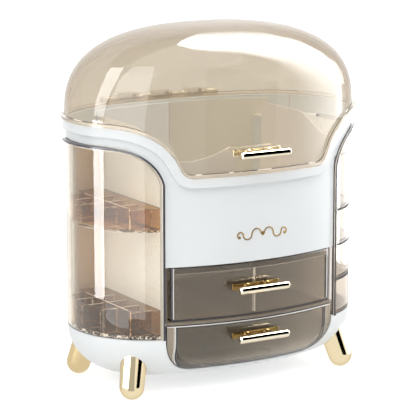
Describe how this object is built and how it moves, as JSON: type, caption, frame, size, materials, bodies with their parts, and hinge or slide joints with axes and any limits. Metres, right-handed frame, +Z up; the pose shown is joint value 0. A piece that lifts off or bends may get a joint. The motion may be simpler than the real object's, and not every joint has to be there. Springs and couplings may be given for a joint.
{
  "type": "makeup organizer",
  "caption": "Oval countertop makeup organizer with a hinged clear dome lid, front drawers, a swing door over lipstick trays and swing-out side bins, on gold feet.",
  "frame": {"origin": "middle of the oval cabinet on the surface under its feet", "axes": "+X to the right seen from the front, the front faces -Y, +Z up"},
  "size_m": [0.32, 0.2282, 0.362],
  "materials": {
    "white_shell": "glossy white moulding",
    "clear_champagne": "clear champagne tint, polished",
    "smoke_clear": "clear smoky tint, polished",
    "amber_clear": "clear amber tint, polished",
    "gold_metal": "polished gold plating",
    "gold_plating": "gold plated plastic",
    "steel": "bright"
  },
  "bodies": {
    "cabinet": {"base_bowl": "white_shell", "cabinet_shell": "white_shell", "left_partition": "white_shell", "right_partition": "white_shell", "top_floor": "white_shell", "drawer_shelf": "amber_clear", "left_wing_floor": "white_shell", "right_wing_floor": "white_shell", "front_divider": "white_shell", "left_mid_tray": "amber_clear", "left_low_tray": "amber_clear", "left_mid_cells": "amber_clear", "left_low_cells": "amber_clear", "left_hinge_pin": "steel", "right_hinge_pin": "steel", "lid_hinge_brackets": "white_shell", "lid_hinge_pin": "steel", "gold_scroll": "gold_plating", "front_left_foot": "gold_plating", "front_right_foot": "gold_plating", "back_left_foot": "gold_plating", "back_right_foot": "gold_plating", "foot_screws": "steel"},
    "lid": {"lid_shell": "clear_champagne", "lid_knuckles": "clear_champagne", "lid_handle": "gold_metal", "lid_handle_plate": "gold_metal", "lid_handle_screws": "steel"},
    "upper_drawer": {"upper_drawer_tray": "smoke_clear", "upper_drawer_front": "smoke_clear", "upper_handle": "gold_metal", "upper_handle_plate": "gold_metal", "upper_handle_screws": "steel"},
    "lower_drawer": {"lower_drawer_tray": "smoke_clear", "lower_drawer_front": "smoke_clear", "lower_handle": "gold_metal", "lower_handle_plate": "gold_metal", "lower_handle_screws": "steel"},
    "left_door": {"left_door": "clear_champagne"},
    "right_top_bin": {"right_top_bin": "clear_champagne"},
    "right_bin_3": {"right_bin_3": "clear_champagne"},
    "right_bin_2": {"right_bin_2": "clear_champagne"},
    "right_bin_1": {"right_bin_1": "clear_champagne"}
  },
  "joints": [
    {"name": "lid_hinge", "type": "hinge", "parent": "cabinet", "child": "lid", "pos_m": [0, 0.107, 0.273], "axis": [-1, 0, 0], "range_deg": [0, 95]},
    {"name": "upper_drawer_slide", "type": "slide", "parent": "cabinet", "child": "upper_drawer", "axis": [0, -1, 0], "range_m": [0, 0.11]},
    {"name": "lower_drawer_slide", "type": "slide", "parent": "cabinet", "child": "lower_drawer", "axis": [0, -1, 0], "range_m": [0, 0.1]},
    {"name": "left_door_hinge", "type": "hinge", "parent": "cabinet", "child": "left_door", "pos_m": [-0.13543, 0.0454, 0.15], "axis": [0, 0, -1], "range_deg": [0, 95]},
    {"name": "right_top_bin_hinge", "type": "hinge", "parent": "cabinet", "child": "right_top_bin", "pos_m": [0.13543, 0.0454, 0.21], "axis": [0, 0, 1], "range_deg": [0, 95]},
    {"name": "right_bin_3_hinge", "type": "hinge", "parent": "cabinet", "child": "right_bin_3", "pos_m": [0.13543, 0.0454, 0.152], "axis": [0, 0, 1], "range_deg": [0, 95]},
    {"name": "right_bin_2_hinge", "type": "hinge", "parent": "cabinet", "child": "right_bin_2", "pos_m": [0.13543, 0.0454, 0.116], "axis": [0, 0, 1], "range_deg": [0, 95]},
    {"name": "right_bin_1_hinge", "type": "hinge", "parent": "cabinet", "child": "right_bin_1", "pos_m": [0.13543, 0.0454, 0.079], "axis": [0, 0, 1], "range_deg": [0, 95]}
  ]
}
